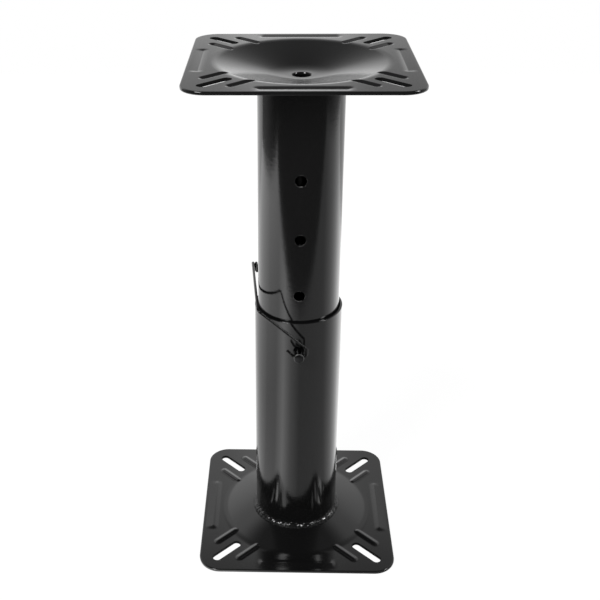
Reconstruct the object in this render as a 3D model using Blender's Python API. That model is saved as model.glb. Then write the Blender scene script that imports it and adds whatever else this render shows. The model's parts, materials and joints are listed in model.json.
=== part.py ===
"""Boat seat pedestal: two pressed plates on a telescoping post with a lock pin and latch wire.

Metres, +Z up. The origin is under the middle of the base plate, on the deck. The camera side
of the post, where the lock pin sticks out, is -Y. The post is fully raised.
"""

import math

import bmesh
import bpy
from mathutils import Matrix, Vector

# The whole pedestal
HEIGHT = 0.4436
CLEARANCE = 0.0003

# The pressed plate, the same part at the deck and under the seat
PLATE_SIZE = 0.1778
PLATE_CORNER = 0.0195
SHEET = 0.0028
EDGE_ROUND = 0.0006
CENTRE_HOLE_RADIUS = 0.00725

# The dish: a cone with a rounded foot and a rounded crown
DISH_DEPTH = 0.0118
DISH_MARGIN = 0.0164
DISH_FOOT = 0.0040
DISH_CONE_RADIUS = 0.0260
DISH_FLAT_RADIUS = 0.0085

# The four bolt slots, on the plate's diagonals
SLOT_LENGTH = 0.0318
SLOT_WIDTH = 0.0079
SLOT_MARGIN = 0.0109

# The two stiffening ribs beside each slot
RIB_LENGTH = 0.0300
RIB_WIDTH = 0.0070
RIB_HEIGHT = 0.0020
RIB_SPACING = 0.0296
RIB_SETBACK = 0.0133

# The shallow straight bead along each side of the plate
BEAD_LENGTH = 0.0700
BEAD_WIDTH = 0.0130
BEAD_HEIGHT = 0.0010
BEAD_MARGIN = 0.0094

# How a rib and a bead rise: shares of the height, each with the share of the half width drawn in
RIB_RISE = ((0, 0), (0.6, 0.2), (0.9, 0.44), (1, 0.72))
BEAD_RISE = ((0, 0), (1, 0.92))

# The hollow behind them: how much narrower it is, and how it follows them in shares of their height
HOLLOW_DRAW = 0.00126
HOLLOW_FOOT = 0.1
HOLLOW_RISE = 0.8

# The outer, lower tube
LOWER_RADIUS = 0.0382
LOWER_WALL = 0.0020
LOWER_TOP = 0.2290

# The inner, upper tube
SLIDING_GAP = 0.0009
UPPER_WALL = 0.0020
UPPER_TAIL = 0.0253

# The height holes, which the lock pin fits
PIN_BELOW_RIM = 0.0267
HOLE_PITCH = 0.0512
HOLE_COUNT = 4
PIN_RADIUS = 0.0044
PIN_FREE_PLAY = 0.0004

# The lock pin outside the post
PIN_STICKOUT = 0.0128
PIN_CHAMFER = 0.0010
CROSS_HOLE_INSET = 0.0050
CROSS_HOLE_PLAY = 0.0004

# The latch wire, bent from one length of spring wire
WIRE_RADIUS = 0.0012
WIRE_BEND = 0.0022
WIRE_TAIL = Vector((-0.0045, 0, 0.0052))
WIRE_SIDE_GAP = 0.0010
WIRE_HEEL = 0.0070
WIRE_ABOVE_RIM = 0.0165
WIRE_CORNER_BEND = 0.0045
FRONT_CORNER_INSET = 0.0037
REAR_CORNER_OUTSET = 0.0030
WIRE_REACH = 0.0900
COIL_RADIUS = 0.0034
COIL_TURNS = 1.25
COIL_PITCH = 0.0029
WIRE_HOOK_DROP = 0.0070

# The weld beads
WELD_LEG = 0.0034
WELD_RIPPLE = 0.0004
WELD_RIPPLES = 24

# How finely curves are divided
ROUND_STEPS = 60
HOLE_STEPS = 24
CORNER_STEPS = 10
CROWN_STEPS = 4
WELD_STEPS = 3
RIPPLE_STEPS = 3
CAPSULE_STEPS = 6
BEND_STEPS = 4
COIL_STEPS = 12

# Sizes that follow from the ones above
PLATE_HALF = PLATE_SIZE / 2
DISH_RADIUS = PLATE_HALF - DISH_MARGIN
DISH_CROWN = DISH_CONE_RADIUS - DISH_FLAT_RADIUS
CORNER_REACH = (PLATE_HALF - PLATE_CORNER) * math.sqrt(2) + PLATE_CORNER
SLOT_REACH = CORNER_REACH - SLOT_MARGIN - SLOT_LENGTH / 2
RIB_REACH = SLOT_REACH - RIB_SETBACK
LOWER_BORE = LOWER_RADIUS - LOWER_WALL
UPPER_RADIUS = LOWER_BORE - SLIDING_GAP
UPPER_BORE = UPPER_RADIUS - UPPER_WALL
PIN_HEIGHT = LOWER_TOP - PIN_BELOW_RIM
PIN_HOLE_RADIUS = PIN_RADIUS + PIN_FREE_PLAY
PIN_FRONT = -(LOWER_RADIUS + PIN_STICKOUT)
CROSS_HOLE_Y = PIN_FRONT + CROSS_HOLE_INSET


def clear_scene():
    """Empty the file that the script runs in."""
    for obj in list(bpy.data.objects):
        bpy.data.objects.remove(obj, do_unlink=True)
    for mesh in list(bpy.data.meshes):
        bpy.data.meshes.remove(mesh)


def paint(name, colour, roughness, metallic=0):
    """One plain Principled material."""
    material = bpy.data.materials.new(name)
    material.use_nodes = True
    shader = material.node_tree.nodes["Principled BSDF"]
    shader.inputs["Base Color"].default_value = (*colour, 1)
    shader.inputs["Roughness"].default_value = roughness
    shader.inputs["Metallic"].default_value = metallic
    return material


def add_object(name, mesh_or_curve, material=None, parent=None):
    """Link a new object, under its parent's frame if it has one."""
    obj = bpy.data.objects.new(name, mesh_or_curve)
    bpy.context.collection.objects.link(obj)
    obj.parent = parent
    if material:
        obj.data.materials.append(material)
    return obj


def mesh_from(name, bm):
    """Turn a bmesh into mesh data with its faces pointing out and its round faces smooth."""
    bmesh.ops.recalc_face_normals(bm, faces=bm.faces)
    mesh = bpy.data.meshes.new(name)
    bm.to_mesh(mesh)
    bm.free()
    mesh.shade_smooth()
    mesh.set_sharp_from_angle(angle=math.radians(30))
    return mesh


def add_rings(bm, rings, closed):
    """Bridge rings of equally many points, from each to the next and, if closed, back again."""
    loops = [[bm.verts.new(point) for point in ring] for ring in rings]
    pairs = list(zip(loops, loops[1:]))
    if closed:
        pairs.append((loops[-1], loops[0]))
    else:
        bm.faces.new(loops[0])
        bm.faces.new(loops[-1])
    for one, other in pairs:
        for i in range(len(one)):
            j = (i + 1) % len(one)
            bm.faces.new((one[i], one[j], other[j], other[i]))


def circle(radius, z, steps=ROUND_STEPS):
    """Points on a level circle about the Z axis."""
    turns = [2 * math.pi * i / steps for i in range(steps)]
    return [Vector((radius * math.cos(a), radius * math.sin(a), z)) for a in turns]


def rounded_square(half, corner, z, side_steps):
    """Points on a level square with round corners, from the +X side round past +Y."""
    points = []
    middle = half - corner
    for quarter in range(4):
        turn = Matrix.Rotation(quarter * math.pi / 2, 3, "Z")
        start = Vector((half, -middle, z))
        end = Vector((half, middle, z))
        for i in range(1, side_steps):
            points.append(turn @ start.lerp(end, i / side_steps))
        for i in range(CORNER_STEPS + 1):
            a = math.pi / 2 * i / CORNER_STEPS
            out = Vector((math.cos(a), math.sin(a), 0)) * corner
            points.append(turn @ (Vector((middle, middle, z)) + out))
    return points


def capsule(bm, length, width, levels, place):
    """Add a long round-ended block, drawn in at each level (height, inset) of its loft."""
    reach = (length - width) / 2
    rings = []
    for z, inset in levels:
        ring = []
        for end in (0, math.pi):
            turn = Matrix.Rotation(end, 3, "Z")
            for i in range(CAPSULE_STEPS + 1):
                a = math.pi * (i / CAPSULE_STEPS - 0.5)
                out = Vector((math.cos(a), math.sin(a), 0)) * (width / 2 - inset)
                ring.append(place @ (turn @ (Vector((reach, 0, z)) + out)))
        rings.append(ring)
    add_rings(bm, rings, closed=False)


def cutter(name, bm):
    """A wire-frame helper that shapes another object and is no piece itself."""
    obj = add_object(name, mesh_from(name, bm))
    obj.hide_render = True
    obj.display_type = "WIRE"
    return obj


def combine(obj, tool, operation):
    """Let one object cut or join another, with Blender's exact solver."""
    modifier = obj.modifiers.new(tool.name, "BOOLEAN")
    modifier.operation = operation
    modifier.solver = "EXACT"
    modifier.object = tool


def applied_mesh(obj, tools):
    """The object's mesh with its modifiers worked in. The object and its tools are removed."""
    mesh = bpy.data.meshes.new_from_object(obj.evaluated_get(bpy.context.evaluated_depsgraph_get()))
    for used in (obj, *tools):
        bpy.data.objects.remove(used, do_unlink=True)
    return mesh


def dish_rise(radius):
    """How far the dish stands off the plate's mounting face at a radius."""
    slope = DISH_DEPTH / (DISH_RADIUS - DISH_CONE_RADIUS + (DISH_CROWN - DISH_FOOT) / 2)
    inwards = DISH_RADIUS - radius
    if inwards <= 0:
        return 0
    if inwards < DISH_FOOT:
        return slope * inwards ** 2 / (2 * DISH_FOOT)
    if radius > DISH_CONE_RADIUS:
        return slope * (inwards - DISH_FOOT / 2)
    return DISH_DEPTH - slope * max(0, radius - DISH_FLAT_RADIUS) ** 2 / (2 * DISH_CROWN)


def dish_rings(z):
    """Circles from the dish's edge in to the centre hole, on the sheet's face at height z."""
    radii = [DISH_RADIUS, DISH_RADIUS - DISH_FOOT / 2, DISH_RADIUS - DISH_FOOT]
    radii += [DISH_CONE_RADIUS - DISH_CROWN * i / CROWN_STEPS for i in range(CROWN_STEPS + 1)]
    return [circle(radius, z + dish_rise(radius)) for radius in radii + [CENTRE_HOLE_RADIUS]]


def plate_outline(inset, z):
    """The plate's edge, with as many points as a circle has, and starting level with its first."""
    side_steps = ROUND_STEPS // 4 - CORNER_STEPS
    half = PLATE_HALF - inset
    points = rounded_square(half, PLATE_CORNER - inset, z, side_steps)
    first = (side_steps - 1) // 2
    return points[first:] + points[:first]


def diagonal_place(quarter, along, aside):
    """Where a feature lies that runs along one of the plate's diagonals."""
    turn = Matrix.Rotation(math.pi / 4 + quarter * math.pi / 2, 4, "Z")
    return turn @ Matrix.Translation((along, aside, 0))


def side_place(quarter):
    """Where the bead lies that runs along one of the plate's sides."""
    outwards = Matrix.Translation((PLATE_HALF - BEAD_MARGIN, 0, 0))
    turn = Matrix.Rotation(quarter * math.pi / 2, 4, "Z")
    return turn @ outwards @ Matrix.Rotation(math.pi / 2, 4, "Z")


def add_swell(bm, place, length, width, height, rise):
    """Add the raised side of a rib or a bead, from inside the sheet up."""
    levels = [(SHEET / 2, 0)]
    levels += [(SHEET + height * up, width / 2 * drawn) for up, drawn in rise]
    capsule(bm, length, width, levels, place)


def add_hollow(bm, place, length, width, height, rise):
    """Add the hollow behind a rib or a bead, from below the sheet up."""
    half = width / 2 - HOLLOW_DRAW
    levels = [(-SHEET, 0)]
    levels += [(height * (HOLLOW_FOOT + HOLLOW_RISE * up), half * drawn) for up, drawn in rise]
    capsule(bm, length - 2 * HOLLOW_DRAW, 2 * half, levels, place)


def pressed_tools():
    """The swells, the hollows behind them and the bolt slots, as three tools."""
    swells, hollows, slots = bmesh.new(), bmesh.new(), bmesh.new()
    for quarter in range(4):
        marks = [(side_place(quarter), BEAD_LENGTH, BEAD_WIDTH, BEAD_HEIGHT, BEAD_RISE)]
        for aside in (-RIB_SPACING / 2, RIB_SPACING / 2):
            place = diagonal_place(quarter, RIB_REACH, aside)
            marks.append((place, RIB_LENGTH, RIB_WIDTH, RIB_HEIGHT, RIB_RISE))
        for mark in marks:
            add_swell(swells, *mark)
            add_hollow(hollows, *mark)
        through = [(-SHEET, 0), (2 * SHEET, 0)]
        capsule(slots, SLOT_LENGTH, SLOT_WIDTH, through, diagonal_place(quarter, SLOT_REACH, 0))
    return cutter("swells", swells), cutter("hollows", hollows), cutter("slots", slots)


def pressed_plate_mesh():
    """The pressing: a flat rim, a dish round the centre hole, ribs, beads and bolt slots."""
    bm = bmesh.new()
    rings = [plate_outline(EDGE_ROUND, 0), plate_outline(0, EDGE_ROUND),
             plate_outline(0, SHEET - EDGE_ROUND), plate_outline(EDGE_ROUND, SHEET)]
    add_rings(bm, rings + dish_rings(SHEET) + dish_rings(0)[::-1], closed=True)
    blank = add_object("blank", mesh_from("blank", bm))
    tools = pressed_tools()
    for tool, operation in zip(tools, ("UNION", "DIFFERENCE", "DIFFERENCE")):
        combine(blank, tool, operation)
    mesh = applied_mesh(blank, tools)
    mesh.name = "pressed_plate"
    return mesh


def seat_plate_frame():
    """The seat plate is the base plate turned over, with its flat face on top."""
    return Matrix.Translation((0, 0, HEIGHT)) @ Matrix.Rotation(math.pi, 4, "X")


def add_plates(mesh):
    """The plate on the deck and the same pressing under the seat."""
    seat = add_object("seat_plate", mesh.copy(), paint("seat_plate_paint", (0.014, 0.014, 0.015), 0.32))
    seat.matrix_world = seat_plate_frame()
    add_object("base_plate", mesh, paint("base_plate_paint", (0.012, 0.012, 0.013), 0.3))


def pin_hole_cutter(name, heights):
    """Level holes right through a tube, from front to back, one at each height."""
    bm = bmesh.new()
    for height in heights:
        turn = Matrix.Translation((0, 0, height)) @ Matrix.Rotation(math.pi / 2, 4, "X")
        ends = [circle(PIN_HOLE_RADIUS, z, HOLE_STEPS) for z in (-PLATE_HALF, PLATE_HALF)]
        add_rings(bm, [[turn @ point for point in ring] for ring in ends], closed=False)
    return cutter(name, bm)


def add_tube(name, corners, hole_heights, material):
    """A round tube turned from its wall's corners (radius, height), with the pin's holes."""
    bm = bmesh.new()
    add_rings(bm, [circle(radius, z) for radius, z in corners], closed=True)
    tube = add_object(name, mesh_from(name, bm), material)
    combine(tube, pin_hole_cutter(name + "_holes", hole_heights), "DIFFERENCE")
    return tube


def wall_corners(outer, bore, foot, head):
    """A tube wall's corners, with its sharp edges taken off at an end that is open to view."""
    ease = EDGE_ROUND / 2
    return [(outer, foot(outer)), (outer, head(outer) - ease), (outer - ease, head(outer)),
            (bore + ease, head(bore)), (bore, head(bore) - ease), (bore, foot(bore))]


def over_dish(radius):
    """The height just above the base plate's dome."""
    return SHEET + dish_rise(radius) + CLEARANCE


def under_dish(radius):
    """The height just below the seat plate's dish."""
    return HEIGHT - over_dish(radius)


def add_lower_tube():
    """The outer tube, standing on the base plate's dome."""
    corners = wall_corners(LOWER_RADIUS, LOWER_BORE, over_dish, lambda radius: LOWER_TOP)
    colour = paint("lower_tube_paint", (0.012, 0.012, 0.013), 0.18)
    add_tube("lower_tube", corners, [PIN_HEIGHT], colour)


def add_upper_tube():
    """The inner tube, which slides in the outer one and carries the seat plate."""
    foot = PIN_HEIGHT - UPPER_TAIL
    corners = wall_corners(UPPER_RADIUS, UPPER_BORE, lambda radius: foot, under_dish)
    heights = [PIN_HEIGHT + HOLE_PITCH * i for i in range(HOLE_COUNT)]
    add_tube("upper_tube", corners, heights, paint("upper_tube_paint", (0.016, 0.016, 0.017), 0.2))


def add_weld(name, tube_radius, frame, material):
    """A fillet weld round a tube's foot, lapped in even ripples. It is drawn as on the dome."""
    inner = tube_radius + CLEARANCE
    section = [(0, 0)]
    for i in range(WELD_STEPS + 1):
        turn = math.pi / 2 * i / WELD_STEPS
        section.append((math.sin(turn), math.cos(turn)))
    rings = [[] for _ in section]
    steps = WELD_RIPPLES * RIPPLE_STEPS
    for i in range(steps):
        a = 2 * math.pi * i / steps
        leg = WELD_LEG + WELD_RIPPLE * math.cos(WELD_RIPPLES * a)
        for ring, (out, up) in zip(rings, section):
            radius = inner + leg * out
            height = over_dish(radius) + leg * up
            ring.append(Vector((radius * math.cos(a), radius * math.sin(a), height)))
    bm = bmesh.new()
    add_rings(bm, rings, closed=True)
    weld = add_object(name, mesh_from(name, bm), material)
    weld.matrix_world = frame


def add_welds():
    """The weld under the lower tube and the one over the upper tube."""
    colour = paint("weld_paint", (0.012, 0.012, 0.013), 0.15)
    add_weld("base_weld", LOWER_RADIUS, Matrix.Identity(4), colour)
    add_weld("seat_weld", UPPER_RADIUS, seat_plate_frame(), colour)


def add_empty(name, place, parent=None):
    """A joint's frame."""
    empty = bpy.data.objects.new(name, None)
    bpy.context.collection.objects.link(empty)
    empty.location = place
    empty.parent = parent
    return empty


def add_lock_pin(joint):
    """The pin, drawn along its own axis from its cross hole, with its tip at the upper tube."""
    front = -CROSS_HOLE_INSET
    tip = -(UPPER_RADIUS + CLEARANCE) - CROSS_HOLE_Y
    turn = Matrix.Rotation(-math.pi / 2, 4, "X")
    profile = [(PIN_RADIUS - PIN_CHAMFER, front), (PIN_RADIUS, front + PIN_CHAMFER),
               (PIN_RADIUS, tip - PIN_CHAMFER / 2), (PIN_RADIUS - PIN_CHAMFER / 2, tip)]
    bm = bmesh.new()
    rings = [circle(radius, y, HOLE_STEPS) for radius, y in profile]
    add_rings(bm, [[turn @ point for point in ring] for ring in rings], closed=False)
    colour = paint("pin_steel", (0.10, 0.10, 0.105), 0.35, 0.9)
    pin = add_object("lock_pin", mesh_from("lock_pin", bm), colour, joint)
    hole = bmesh.new()
    across = Matrix.Rotation(math.pi / 2, 4, "Y")
    radius = WIRE_RADIUS + CROSS_HOLE_PLAY
    ends = [circle(radius, x, HOLE_STEPS // 2) for x in (-2 * PIN_RADIUS, 2 * PIN_RADIUS)]
    add_rings(hole, [[across @ point for point in ring] for ring in ends], closed=False)
    tool = cutter("cross_hole", hole)
    tool.parent = joint
    combine(pin, tool, "DIFFERENCE")


def bend_points(before, corner, after, radius):
    """Points on the arc that rounds a corner of a path."""
    back = (before - corner).normalized()
    on = (after - corner).normalized()
    half_angle = back.angle(on) / 2
    length = radius / math.tan(half_angle)
    middle = corner + (back + on).normalized() * (radius / math.sin(half_angle))
    start = corner + back * length - middle
    end = corner + on * length - middle
    sweep = start.angle(end)
    points = []
    for i in range(BEND_STEPS + 1):
        turn = sweep * i / BEND_STEPS
        mix = start * math.sin(sweep - turn) + end * math.sin(turn)
        points.append(middle + mix / math.sin(sweep))
    return points


def latch_wire_path():
    """The wire's centre line from its short tail to its hook, from the cross hole's middle."""
    side = PIN_RADIUS + WIRE_SIDE_GAP + WIRE_RADIUS
    rise = PIN_BELOW_RIM + WIRE_ABOVE_RIM
    tail_bend = Vector((-side + WIRE_RADIUS, 0, 0))
    heel = Vector((side, 0, 0))
    shoulder = Vector((side, 0, WIRE_HEEL))
    front_corner = Vector((-(LOWER_RADIUS - FRONT_CORNER_INSET), 0, rise))
    coil_start = Vector((-(LOWER_RADIUS + REAR_CORNER_OUTSET), WIRE_REACH, rise))
    points = [tail_bend + WIRE_TAIL]
    points += bend_points(points[0], tail_bend, heel, WIRE_BEND)
    points += bend_points(tail_bend, heel, shoulder, WIRE_BEND)
    points += bend_points(heel, shoulder, front_corner, WIRE_BEND)
    points += bend_points(shoulder, front_corner, coil_start, WIRE_CORNER_BEND)
    for i in range(int(COIL_TURNS * COIL_STEPS) + 1):
        turn = i / COIL_STEPS
        a = 2 * math.pi * turn
        back = math.sin(a) * COIL_RADIUS
        down = (math.cos(a) - 1) * COIL_RADIUS
        points.append(coil_start + Vector((COIL_PITCH * turn, back, down)))
    points.append(points[-1] - Vector((0, 0, WIRE_HOOK_DROP)))
    return points


def add_latch_wire(joint):
    """The wire, as a round bar along its path."""
    curve = bpy.data.curves.new("latch_wire", "CURVE")
    curve.dimensions = "3D"
    curve.bevel_depth = WIRE_RADIUS
    curve.bevel_resolution = 2
    curve.use_fill_caps = True
    path = latch_wire_path()
    spline = curve.splines.new("POLY")
    spline.points.add(len(path) - 1)
    for point, place in zip(spline.points, path):
        point.co = (*place, 1)
    spline.use_smooth = True
    add_object("latch_wire", curve, paint("wire_black", (0.02, 0.02, 0.02), 0.35, 0.6), joint)


def main():
    clear_scene()
    add_plates(pressed_plate_mesh())
    add_lower_tube()
    add_upper_tube()
    add_welds()
    pin_joint = add_empty("pin_slide", (0, CROSS_HOLE_Y, PIN_HEIGHT))
    add_lock_pin(pin_joint)
    add_latch_wire(add_empty("wire_swing", (0, 0, 0), pin_joint))


main()
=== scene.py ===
"""Looks of a boat seat pedestal: black paint, pressed plates, welds, lock pin and latch wire.

Lengths are in metres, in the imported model's frame: +Z up, the lock pin at the -Y side.
"""

import json
import math

import bmesh
import bpy
from bpy.props import FloatProperty, FloatVectorProperty, IntProperty, PointerProperty
from mathutils import Matrix, Vector, noise


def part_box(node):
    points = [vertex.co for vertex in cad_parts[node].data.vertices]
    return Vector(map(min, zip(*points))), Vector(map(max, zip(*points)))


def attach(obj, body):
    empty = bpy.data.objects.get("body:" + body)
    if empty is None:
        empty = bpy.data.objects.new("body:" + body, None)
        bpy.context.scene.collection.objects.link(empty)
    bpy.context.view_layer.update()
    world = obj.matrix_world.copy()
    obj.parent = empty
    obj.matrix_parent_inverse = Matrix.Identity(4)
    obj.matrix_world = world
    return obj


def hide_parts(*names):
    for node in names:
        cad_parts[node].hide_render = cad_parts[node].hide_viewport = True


bl_info = {
    "name": "Boat seat pedestal",
    "version": (1, 0, 0),
    "blender": (4, 5, 0),
    "location": "3D View > Sidebar > Pedestal",
    "description": "Finishes a pressed and welded boat seat pedestal",
    "category": "Object",
}

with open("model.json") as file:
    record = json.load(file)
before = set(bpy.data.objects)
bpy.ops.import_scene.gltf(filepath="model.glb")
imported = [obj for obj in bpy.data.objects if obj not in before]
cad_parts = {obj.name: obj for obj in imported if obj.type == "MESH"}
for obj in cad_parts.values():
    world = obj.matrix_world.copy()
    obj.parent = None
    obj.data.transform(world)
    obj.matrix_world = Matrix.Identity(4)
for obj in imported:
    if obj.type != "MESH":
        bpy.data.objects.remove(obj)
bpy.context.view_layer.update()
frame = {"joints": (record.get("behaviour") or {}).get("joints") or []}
BASE_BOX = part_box("base_plate")
SEAT_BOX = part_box("seat_plate")
LOWER_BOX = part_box("lower_tube")
UPPER_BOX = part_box("upper_tube")
PIN_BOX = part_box("lock_pin")
JOINTS = {joint["name"]: joint for joint in frame["joints"]}
CROSS_HOLE = Vector(JOINTS["wire_swing"]["pos_m"])
SMOOTH_ANGLE = math.radians(35)

# A side bead's soft end, and how hollow its outer and inner flanks are
BEAD_END = 0.0032
BEAD_OUTER_BOW = 1.15
BEAD_INNER_BOW = 1.9

# How the slot punch passes the sheet below and above, and its small chamfer on the flat face
PUNCH_BELOW = 0.01
PUNCH_ABOVE = 0.008
PUNCH_CHAMFER = 0.0002
PUNCH_POINTS = 48

# How far the tubes' ends stop short of the plates, and the rounding of the pin holes
FOOT_GAP = 0.0007
HEAD_GAP = 0.0005
HOLE_ROUND = 0.0004

# The weld beads: points round and across, how far they start inside the tube's face and under the
# plate's, and how uneven they are
WELD_STEPS = 720
WELD_SECTION = 12
WELD_SINK = 0.0002
WELD_ROOT = 0.0006
WELD_RIPPLES = 34
WELD_LAG = 0.35
WELD_WANDER = 0.16
WELD_RIPPLE = 0.10
WELD_LUMP = 0.17
WELD_GRAIN = 0.06

# The lock pin's rounded ends, and the wire's play in its cross hole
PIN_ROUND = 0.0009
CROSS_HOLE_PLAY = 0.0004

# Cells a metre in the finishes: cloudiness, orange peel, nibs, steel marks, dull coat with painted shade in
# the slots, painted highlight and wear on rims
CLOUD_SCALE = 34
PEEL_SCALE = 1100
NIB_SCALE = 160
MARK_SCALE = 60
SLOT_SHADE_SCALE = 900
RIM_HIGHLIGHT_SCALE = 1400

# Lamps: name, place, width and height, power
LAMP_TARGET = (0, 0, 0.2)
LAMPS = (("Left softbox", (-0.57, -0.72, 0.90), (0.35, 0.5), 12),
         ("Right softbox", (1.00, -0.36, 0.80), (0.2, 0.5), 8))

# Painted light on the table, seen only in gloss: a painted pool of light at the front left, the pedestal's
# painted shadow from the front round to the right, and more light at the back right; right round from the -X
# side by -Y, +X and +Y
POOL_STRENGTH = 2.6
POOL_OF_LIGHT = ((0, 0.9), (0.09, 1.2), (0.145, 2.5), (0.2, 1.15), (0.26, 0.52), (0.44, 0.55),
                 (0.51, 1.1), (0.6, 2.1), (0.75, 1.3), (0.92, 1.05))

# Each of these four-number rows runs from one place to another, and from one value to another.
# Painted light growing towards the table's left in gloss, and its glow to the camera with the distance from
# the post
TABLE_PAINTED_LEFT_LIGHT = (-0.25, -0.85, 0, 0.45)
TABLE_GLOW = (0.3, 0.6, 1.06, 1.12)
TABLE_WHITE = (0.8, 0.8, 0.8, 1)
TABLE_GLOW_SHARE = 0.9

# Painted light on the backdrop, seen only in gloss: how bright it is at each height in metres
BACKDROP_STRENGTH = 1.3
BACKDROP = ((0, 1.2), (0.12, 1.55), (0.2, 1.35), (0.28, 1.02), (0.36, 1.02), (0.42, 1.1), (0.46, 1.1),
            (0.52, 0.94), (0.58, 0.7), (0.62, 0.58), (0.67, 0.48), (0.73, 0.34), (0.80, 0.2),
            (0.92, 0.11), (1.3, 0.14))

# The backdrop's painted light fades lower to the sides, its middle has a painted pool of light
# that ends above, and its left is the brighter side
BACKDROP_SIDES = (0.18, 1.18, 0, 2)
BACKDROP_POOL = (0.05, 0.12, 0.3, 0)
BACKDROP_POOL_TOP = (0.6, 0.7, 1, 0)
BACKDROP_LEFT_LIGHT = (-0.2, 0.2, 1.08, 0.8)

# How bright the room is in gloss, from straight down to straight up, and from front to back
ROOM_STRENGTH = 1
ROOM = ((0.48, 0.35), (0.5, 0.7), (0.66, 0.5), (0.8, 0.3), (1, 0.12))
ROOM_BACK = (-0.25, 0.2, 0.3, 1)


class PlateSettings(bpy.types.PropertyGroup):
    """Sizes of the pressing that makes both plates."""

    sheet: FloatProperty(
        name="Sheet", description="Thickness of the steel sheet", default=0.0028, unit="LENGTH")
    corner: FloatProperty(
        name="Corner", description="Radius of the plate's corners", default=0.0195, unit="LENGTH")
    edge: FloatProperty(
        name="Edge", description="Rounding along the sheet's edges", default=0.0007, unit="LENGTH")
    dish_radius: FloatProperty(
        name="Dish Radius", description="Radius of the pressed dish", default=0.0725, unit="LENGTH")
    dish_depth: FloatProperty(
        name="Dish Depth", description="Depth of the dish", default=0.0118, unit="LENGTH")
    dish_foot: FloatProperty(
        name="Dish Foot", description="Width of the dish's rounded foot", default=0.0070, unit="LENGTH")
    dish_cone: FloatProperty(
        name="Dish Cone", description="Radius where the cone ends", default=0.0260, unit="LENGTH")
    dish_flat: FloatProperty(
        name="Dish Flat", description="Radius of the flat in the dish", default=0.0085, unit="LENGTH")
    hole_radius: FloatProperty(
        name="Hole Radius", description="Radius of the centre hole", default=0.00725, unit="LENGTH")
    slot_length: FloatProperty(
        name="Slot Length", description="Length of a bolt slot", default=0.0318, unit="LENGTH")
    slot_flare: FloatProperty(
        name="Slot Flare", description="Width of a slot's turned rim", default=0.00025, unit="LENGTH")
    slot_width: FloatProperty(
        name="Slot Width", description="Width of a bolt slot", default=0.0079, unit="LENGTH")
    slot_reach: FloatProperty(
        name="Slot Reach", description="From the centre to a slot's middle", default=0.09085, unit="LENGTH")
    rib_length: FloatProperty(
        name="Rib Length", description="Length of a stiffening rib", default=0.0300, unit="LENGTH")
    rib_width: FloatProperty(
        name="Rib Width", description="Width of a stiffening rib", default=0.0086, unit="LENGTH")
    rib_height: FloatProperty(
        name="Rib Height", description="Height of a stiffening rib", default=0.0013, unit="LENGTH")
    rib_spacing: FloatProperty(
        name="Rib Spacing", description="Between the two ribs of a corner", default=0.0296, unit="LENGTH")
    rib_reach: FloatProperty(
        name="Rib Reach", description="From the centre to a rib's middle", default=0.07755, unit="LENGTH")
    bead_length: FloatProperty(
        name="Bead Length", description="Length of a side bead", default=0.0700, unit="LENGTH")
    bead_outer: FloatProperty(
        name="Bead Outer Run", description="Run of a side bead towards the edge", default=0.0072,
        unit="LENGTH")
    bead_inner: FloatProperty(
        name="Bead Inner Run", description="Run of a side bead towards the dish", default=0.0058,
        unit="LENGTH")
    bead_height: FloatProperty(
        name="Bead Height", description="Height of a side bead", default=0.0008, unit="LENGTH")
    bead_reach: FloatProperty(
        name="Bead Reach", description="From the centre to a bead", default=0.0792, unit="LENGTH")
    corner_span: FloatProperty(
        name="Corner Span", description="Half width of the ribbed corner", default=0.0200, unit="LENGTH")
    rib_steps: IntProperty(name="Rib Steps", description="Lines across half a corner", default=40, min=8)
    side_steps: IntProperty(name="Side Steps", description="Lines along half a side", default=28, min=4)


class TubeSettings(bpy.types.PropertyGroup):
    """Sizes of the two tubes and the welds."""

    wall: FloatProperty(name="Wall", description="Wall of both tubes", default=0.0020, unit="LENGTH")
    hole_radius: FloatProperty(
        name="Hole Radius", description="Radius of the pin's holes", default=0.0048, unit="LENGTH")
    hole_pitch: FloatProperty(
        name="Hole Pitch", description="Between two height holes", default=0.0512, unit="LENGTH")
    hole_count: IntProperty(name="Holes", description="Height holes in the upper tube", default=4)
    rim_round: FloatProperty(
        name="Rim Round", description="Rounding at the tubes' ends", default=0.0004, unit="LENGTH")
    weld_leg: FloatProperty(
        name="Weld Leg", description="Leg of the fillet welds", default=0.0033, unit="LENGTH")
    steps: IntProperty(name="Steps", description="Points round a tube", default=256, min=48)


class WireSettings(bpy.types.PropertyGroup):
    """Sizes of the latch wire."""

    radius: FloatProperty(
        name="Radius", description="Radius of the wire", default=0.0012, unit="LENGTH")
    bend: FloatProperty(
        name="Bend", description="Radius of the tight bends", default=0.0022, unit="LENGTH")
    corner_bend: FloatProperty(
        name="Corner Bend", description="Radius of the front corner", default=0.0045, unit="LENGTH")
    side: FloatProperty(
        name="Side", description="From the pin's axis to the heel", default=0.0066, unit="LENGTH")
    heel: FloatProperty(
        name="Heel", description="Rise of the heel beside the pin", default=0.0070, unit="LENGTH")
    rise: FloatProperty(
        name="Rise", description="From the pin's axis to the side arm", default=0.0432, unit="LENGTH")
    reach: FloatProperty(
        name="Reach", description="Length of the side arm", default=0.0900, unit="LENGTH")
    front_x: FloatProperty(
        name="Front Corner", description="Front corner's place across", default=-0.0345, unit="LENGTH")
    rear_x: FloatProperty(
        name="Rear Corner", description="Rear corner's place across", default=-0.0412, unit="LENGTH")
    coil_radius: FloatProperty(
        name="Coil Radius", description="Radius of the coil", default=0.0034, unit="LENGTH")
    coil_pitch: FloatProperty(
        name="Coil Pitch", description="Advance of the coil in a turn", default=0.0029, unit="LENGTH")
    coil_turns: FloatProperty(name="Coil Turns", description="Turns of the coil", default=1.25)
    drop: FloatProperty(
        name="Drop", description="Length after the coil", default=0.0070, unit="LENGTH")


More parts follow.
